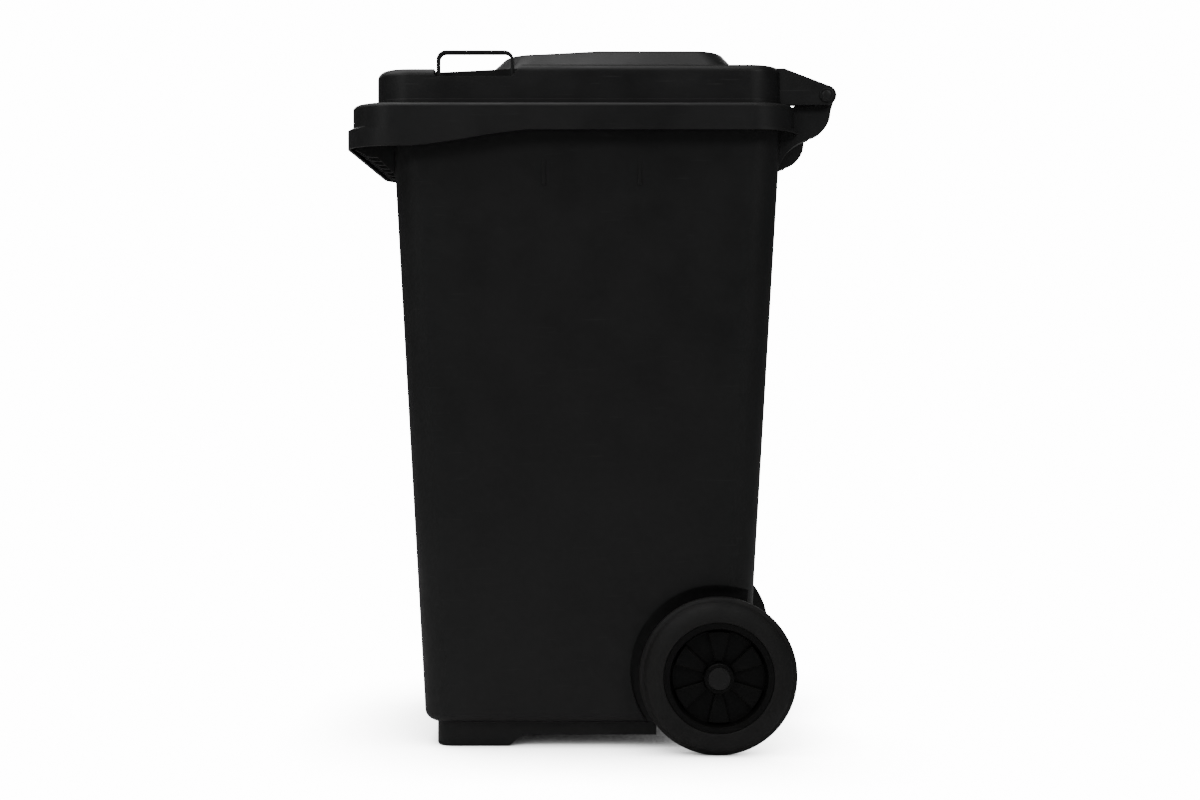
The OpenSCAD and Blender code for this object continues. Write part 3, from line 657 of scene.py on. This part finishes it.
for side in (-1, 1):
    arm = traced("arm", arc(hinge_y, hinge_z, boss_r, 78, -90, 14)
        + [(lid_back - 0.052, lid_bottom), (lid_back - 0.052, lid_top - lid_round),
        (lid_back - 0.012, lid_top - 0.002), (lid_back + 0.002, lid_top - 0.002)],
        side * arm_in, side * arm_out)
    ease_edges(arm, 0.001, 60)
    weld_on(lid, arm)
    cut_away(lid, rod("bore", (side * (arm_in - 0.001), hinge_y, hinge_z),
        (side * (arm_out + 0.001), hinge_y, hinge_z), arm_bore_r, 48))
shade(lid)
lid_dark, lid_light = (0.0100, 0.0100, 0.0104), (0.0150, 0.0150, 0.0155)
paint(lid, moulded("lid_black", lid_dark, lid_light, (0.36, 0.50), scratched=1.0))
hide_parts("lid")
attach(lid, "lid")


# ---------------------------------------------------------------- hinge pins
# Two nylon pins with domed heads, pushed in from the sides and held by a barb behind the bracket.
def turned(name, outline, centre, steps=96, tilt=0.0):
    """A shape turned about a line along X, from an outline of (distance along X, radius)."""
    bpy.ops.object.select_all(action="DESELECT")
    bpy.ops.mesh.primitive_plane_add(size=0.001)
    piece = bpy.context.object
    piece.name = name
    edit(piece)
    bpy.ops.mesh.select_mode(type="VERT")
    bpy.ops.mesh.merge(type="CENTER")
    y, z = centre
    way = Vector((0, cos(tilt), sin(tilt)))
    here = Vector((outline[0][0], y, z)) + way * outline[0][1]
    move(*here)
    for x, radius in outline[1:]:
        there = Vector((x, y, z)) + way * radius
        bpy.ops.mesh.extrude_vertices_move(TRANSFORM_OT_translate={"value": there - here})
        here = there
    bpy.ops.mesh.select_all(action="SELECT")
    bpy.ops.mesh.spin(steps=steps, angle=2 * pi, center=(0, y, z), axis=(1, 0, 0))
    bpy.ops.mesh.select_all(action="SELECT")
    bpy.ops.mesh.remove_doubles(threshold=0.00001)
    bpy.ops.mesh.normals_make_consistent(inside=False)
    done()
    return piece


pin_in, pin_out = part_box("hinge_pin_right")[0].x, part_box("hinge_pin_right")[1].x
shank_r, barb_r = 0.007, 0.008
pin = turned("hinge_pin_r", [(pin_in, 0), (pin_in, 0.0055), (pin_in + 0.0035, barb_r),
    (pin_in + 0.0046, barb_r), (pin_in + 0.0046, shank_r), (pin_out - 0.0027, shank_r),
    (pin_out - 0.0027, 0.0102), (pin_out - 0.0022, pin_head_r), (pin_out - 0.0009, pin_head_r),
    (pin_out - 0.0002, 0.0104), (pin_out, 0.0098), (pin_out, 0.0084), (pin_out - 0.0010, 0.0078),
    (pin_out - 0.0010, 0.0073), (pin_out - 0.0004, 0.0064), (pin_out, 0.0045), (pin_out, 0)],
    (hinge_y, hinge_z), 64)
shade(pin, 40)
pin_dark, pin_light = (0.016, 0.016, 0.016), (0.022, 0.022, 0.022)
paint(pin, moulded("pin_nylon", pin_dark, pin_light, (0.35, 0.45), grain=0.3))
for piece, side in ((pin, "right"), (twin(pin, "hinge_pin_l"), "left")):
    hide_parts("hinge_pin_" + side)
    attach(piece, "bin")

# ---------------------------------------------------------------- tyres
# Solid rubber tyres with rounded shoulders, keyed into the rims.
tyre_low, tyre_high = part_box("tyre_right")
tyre_r = tyre_high.z - axle_z
tyre_in, tyre_out = tyre_low.x, tyre_high.x
seat_r = 0.08205
side_line = [(tyre_out - 0.002, seat_r), (tyre_out - 0.0006, seat_r + 0.0006)]
fall, fall_from, fall_high = 0.016, seat_r + 0.002, tyre_r - 0.006 - seat_r - 0.002
last_turn = radians(72)
for i in range(13):
    a = radians(6 * i)
    side_line.append((tyre_out - fall * (1 - cos(a)) / (1 - cos(last_turn)),
        fall_from + fall_high * sin(a) / sin(last_turn)))
side_line += [(tyre_out - fall - 0.0003, tyre_r - 0.0045), (tyre_out - fall - 0.0016, tyre_r - 0.0026),
    (tyre_out - fall - 0.0028, tyre_r - 0.0008), (tyre_out - fall - 0.0045, tyre_r)]
far_line = [(tyre_in + tyre_out - x, r) for x, r in reversed(side_line)]
tyre_mid = (tyre_in + tyre_out) / 2
outline = side_line + far_line + [(tyre_mid - 0.006, seat_r), (tyre_mid - 0.006, seat_r - 0.004),
    (tyre_mid + 0.006, seat_r - 0.004), (tyre_mid + 0.006, seat_r), side_line[0]]
tyre = turned("tyre_r", outline, (axle_y, axle_z), 128)
shade(tyre, 30)
tyre_dark, tyre_light = (0.0085, 0.0083, 0.0082), (0.0130, 0.0126, 0.0122)
paint(tyre, moulded("tyre_black", tyre_dark, tyre_light, (0.55, 0.70), grain=1.6, low_dust_and_sheen=1.0))
for piece, side in ((tyre, "right"), (twin(tyre, "tyre_l"), "left")):
    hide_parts("tyre_" + side)
    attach(piece, "wheel_" + side)

# ---------------------------------------------------------------- rims
# Moulded wheel centres: a barrel with a flat lip, a disc with six wedge spokes, and a hub.
lip_r = 0.0725
face_x = tyre_out - 0.001
disc_x = tyre_out - 0.017
spoke_x = disc_x + 0.007
hub_x = tyre_out + 0.003
hub_r = 0.0223
hub_in = 0.2126
bush_r = 0.01255
cap_r = 0.01755
rim = turned("rim_r", [(hub_in, bush_r), (hub_in, 0.0243), (hub_in + 0.0007, 0.025), (disc_x - 0.005, 0.025),
    (disc_x - 0.005, 0.071), (tyre_in + 0.003, 0.076), (tyre_in + 0.003, 0.082), (tyre_mid - 0.00605, 0.082),
    (tyre_mid - 0.00605, 0.078), (tyre_mid + 0.00605, 0.078), (tyre_mid + 0.00605, 0.082),
    (face_x - 0.0005, 0.082), (face_x, 0.0815), (face_x, lip_r + 0.0016), (face_x - 0.0004, lip_r + 0.0006),
    (face_x - 0.0014, lip_r), (disc_x + 0.0012, lip_r - 0.003), (disc_x, lip_r - 0.0042),
    (disc_x, hub_r + 0.001), (disc_x + 0.001, hub_r), (hub_x - 0.001, hub_r), (hub_x, hub_r - 0.001), (hub_x, cap_r),
    (hub_x - 0.004, cap_r), (hub_x - 0.004, bush_r), (hub_in, bush_r)], (axle_y, axle_z), 144, radians(1.25))
edit(rim)
spoke_pitch, spoke_half_angle = 60, 12.6


def round_wheel(part):
    """Where a face's middle lies round the wheel: its angle in degrees and its radius."""
    centre = part.calc_center_median()
    return degrees(atan2(centre.z - axle_z, centre.y - axle_y)), hypot(centre.z - axle_z, centre.y - axle_y)


def in_spoke(face):
    """Whether a face of the disc lies where one of the six spokes stands up."""
    if not (face.normal.x > 0.9 and abs(face.calc_center_median().x - disc_x) < 0.0003):
        return False
    angle, radius = round_wheel(face)
    past_middle = (angle - 90 + spoke_pitch / 2) % spoke_pitch - spoke_pitch / 2
    return hub_r < radius < lip_r and abs(past_middle) < spoke_half_angle


pick("FACE", in_spoke)
bpy.ops.mesh.extrude_region_move(TRANSFORM_OT_translate={"value": (spoke_x - disc_x, 0, 0)})
pick("EDGE", lambda e: all(v.co.x > spoke_x - 0.0001 and v.co.x < spoke_x + 0.0001 for v in e.verts)
    and abs(e.link_faces[0].normal.x - e.link_faces[1].normal.x) > 0.5)
round_off(0.0012, 3)
done()
shade(rim, 30)
wheel_dark, wheel_light = (0.0018, 0.0017, 0.0017), (0.0032, 0.0031, 0.0030)
paint(rim, moulded("wheel_black", wheel_dark, wheel_light, (0.44, 0.56), grain=0.7, low_dust_and_sheen=0.4, gloss=0.25))
for piece, side in ((rim, "right"), (twin(rim, "rim_l"), "left")):
    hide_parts("rim_" + side)
    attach(piece, "wheel_" + side)

# ---------------------------------------------------------------- hub caps
# Small press-in caps with a shallow ring round a flat middle.
cap = turned("hub_cap_r", [(hub_x - 0.00395, 0), (hub_x - 0.00395, 0.015), (hub_x - 0.003, 0.0175),
    (hub_x - 0.0012, 0.0175), (hub_x - 0.0012, 0.0166), (hub_x + 0.0008, 0.0164), (hub_x + 0.0016, 0.0160),
    (hub_x + 0.0020, 0.0152), (hub_x + 0.0020, 0)], (axle_y, axle_z), 72)
shade(cap, 30)
cap_dark, cap_light = (0.0125, 0.0123, 0.0122), (0.0170, 0.0168, 0.0165)
paint(cap, moulded("cap_black", cap_dark, cap_light, (0.48, 0.60), grain=0.8))
for piece, side in ((cap, "right"), (twin(cap, "hub_cap_l"), "left")):
    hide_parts("hub_cap_" + side)
    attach(piece, "wheel_" + side)

# ---------------------------------------------------------------- rubber buffers
# Four soft studs pressed into the rim's top keep the closed lid off it.
buffer_low, buffer_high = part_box("lid_buffers")
stud_x, stud_r, stem_r = 0.150, 0.005, 0.0025
studs = []
for x in (-stud_x, stud_x):
    for y in (buffer_low.y + stud_r, buffer_high.y - stud_r):
        stud = turned("stud", [(0, 0), (0, 0.0042), (-0.0006, stud_r), (-0.0022, stud_r), (-0.0022, stem_r),
            (-0.0082, stem_r), (-0.0082, 0)], (0, 0), 24)
        edit(stud)
        bpy.ops.transform.rotate(value=radians(-90), orient_axis="Y", center_override=(0, 0, 0))
        low = min(v.co.z for v in bmesh.from_edit_mesh(stud.data).verts)
        move(x, y, buffer_low.z - low)
        done()
        studs.append(stud)
only(studs[0])
for stud in studs[1:]:
    stud.select_set(True)
bpy.ops.object.join()
buffers = bpy.context.object
buffers.name = "buffers"
shade(buffers, 40)
buffer_dark, buffer_light = (0.008, 0.008, 0.008), (0.013, 0.013, 0.013)
paint(buffers, moulded("buffer_rubber", buffer_dark, buffer_light, (0.6, 0.75), grain=0.5))
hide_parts("lid_buffers")
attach(buffers, "bin")

# ---------------------------------------------------------------- axle and wheel lock
# A zinc-plated steel rod with nylon washers and hub liners, and a sprung pin that locks each wheel on.
def plated(name, colour, rough):
    """Bright plated steel, drawn lengthwise, with a little mottling."""
    material = bpy.data.materials.new(name)
    material.use_nodes = True
    tree = material.node_tree
    shader = tree.nodes["Principled BSDF"]
    shader.inputs["Metallic"].default_value = 1.0
    place = tree.nodes.new("ShaderNodeTexCoord").outputs["Object"]
    tone = use(tree, mottle, {"Vector": place, "Scale": 40.0, "Low": 0.0, "High": 1.0})
    duller = [0.8 * c for c in colour]
    shades = add(tree, "Mix", {"Factor": tone.outputs["Value"], "A": (*duller, 1), "B": (*colour, 1)},
        data_type="RGBA")
    tree.links.new(shades.outputs["Result"], shader.inputs["Base Color"])
    drawn = add(tree, "Mapping", {"Vector": place, "Scale": (0.05, 1.0, 1.0)})
    sheen = use(tree, mottle,
        {"Vector": drawn.outputs["Vector"], "Scale": 500.0, "Low": rough[0], "High": rough[1]})
    tree.links.new(sheen.outputs["Value"], shader.inputs["Roughness"])
    skin = use(tree, grained, {"Vector": drawn.outputs["Vector"], "Strength": 0.1})
    tree.links.new(skin.outputs["Normal"], shader.inputs["Normal"])
    return material


zinc = plated("axle_zinc", (0.52, 0.53, 0.55), (0.28, 0.42))
spring_steel = plated("lock_bright", (0.60, 0.60, 0.60), (0.20, 0.32))
liner = moulded("liner_nylon", (0.018, 0.018, 0.018), (0.026, 0.026, 0.026), (0.40, 0.52), grain=0.3)
finishes = {"axle": zinc, "axle_washer": liner, "hub_bush": liner, "lock_plug": liner,
    "lock_pin": spring_steel, "lock_spring": spring_steel}
for name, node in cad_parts.items():
    finish = finishes.get(name.removesuffix("_right").removesuffix("_left"))
    if finish:
        paint(node, finish)

# ---------------------------------------------------------------- floor, camera and light
# A plain pale floor, the camera square to the bin's side, and soft lights over and beside it.
# The floor glows to the eye as the backdrop does, with painted shade where the bin is near, and is clear from below.
pale_glow = 15.0
bpy.ops.object.select_all(action="DESELECT")
bpy.ops.mesh.primitive_plane_add(size=200, location=(0, 0, 0))
floor = bpy.context.object
floor.name = "floor"
pale = bpy.data.materials.new("floor_pale")
pale.use_nodes = True
tree = pale.node_tree
tree.nodes.clear()
seen = tree.nodes.new("ShaderNodeLightPath")
# Ambient occlusion darkens the floor's glow close to the bin: painted contact shade.
nearby = add(tree, "AmbientOcclusion", {"Distance": 0.25}, samples=16)
painted_contact_shade = add(tree, "Math", {0: nearby.outputs["AO"], 1: 1.8}, operation="POWER")
glow = add(tree, "Math", {0: painted_contact_shade.outputs["Value"], 1: pale_glow}, operation="MULTIPLY")
bright = add(tree, "Emission", {"Color": (1, 1, 1, 1), "Strength": glow.outputs["Value"]})
matt = add(tree, "BsdfDiffuse", {"Color": (0.8, 0.8, 0.8, 1)})
lit = add(tree, "MixShader",
    {"Fac": seen.outputs["Is Camera Ray"], 1: matt.outputs["BSDF"], 2: bright.outputs["Emission"]})
side_seen = tree.nodes.new("ShaderNodeNewGeometry")
clear = add(tree, "BsdfTransparent", {})
floor_skin = add(tree, "MixShader",
    {"Fac": side_seen.outputs["Backfacing"], 1: lit.outputs["Shader"], 2: clear.outputs["BSDF"]})
add(tree, "OutputMaterial", {"Surface": floor_skin.outputs["Shader"]})
floor.data.materials.append(pale)

bpy.ops.object.camera_add(location=(2.9, 0.038, 0.574), rotation=(radians(90), 0, radians(90)))
camera = bpy.context.object
camera.data.lens = 53.1
camera.data.sensor_width = 36
camera.data.shift_x = -0.0142
camera.data.shift_y = -0.025
bpy.context.scene.camera = camera

world = bpy.data.worlds.new("studio")
bpy.context.scene.world = world
world.use_nodes = True
tree = world.node_tree
tree.nodes.clear()
seen = tree.nodes.new("ShaderNodeLightPath")
around = add(tree, "Background", {"Color": (1, 1, 1, 1), "Strength": 0.06})
backdrop = add(tree, "Background", {"Color": (1, 1, 1, 1), "Strength": pale_glow})
both = add(tree, "MixShader",
    {"Fac": seen.outputs["Is Camera Ray"], 1: around.outputs["Background"], 2: backdrop.outputs["Background"]})
add(tree, "OutputWorld", {"Surface": both.outputs["Shader"]})


def softbox(place, aim, width, height, power):
    """A large soft light aimed at a point."""
    bpy.ops.object.light_add(type="AREA", location=place)
    lamp = bpy.context.object
    lamp.data.shape = "RECTANGLE"
    lamp.data.size, lamp.data.size_y = width, height
    lamp.data.energy = power
    lamp.visible_camera = False
    lamp.rotation_euler = (Vector(aim) - Vector(place)).to_track_quat("-Z", "Y").to_euler()


softbox((0.3, -0.9, 2.5), (0.1, -0.2, 0.6), 1.8, 2.0, 18)
softbox((2.6, -1.6, 2.3), (0.2, 0, 0.6), 0.9, 0.9, 9)
softbox((2.6, 1.6, 2.3), (0.2, 0, 0.6), 0.9, 0.9, 9)
softbox((-2.6, -1.6, 2.3), (-0.2, 0, 0.6), 0.9, 0.9, 9)
softbox((-2.6, 1.6, 2.3), (-0.2, 0, 0.6), 0.9, 0.9, 9)
bpy.ops.object.light_add(type="SUN", location=(0, 0, 4), rotation=(0, radians(15), 0))
bpy.context.object.data.energy = 0.45
bpy.context.object.data.angle = radians(60)
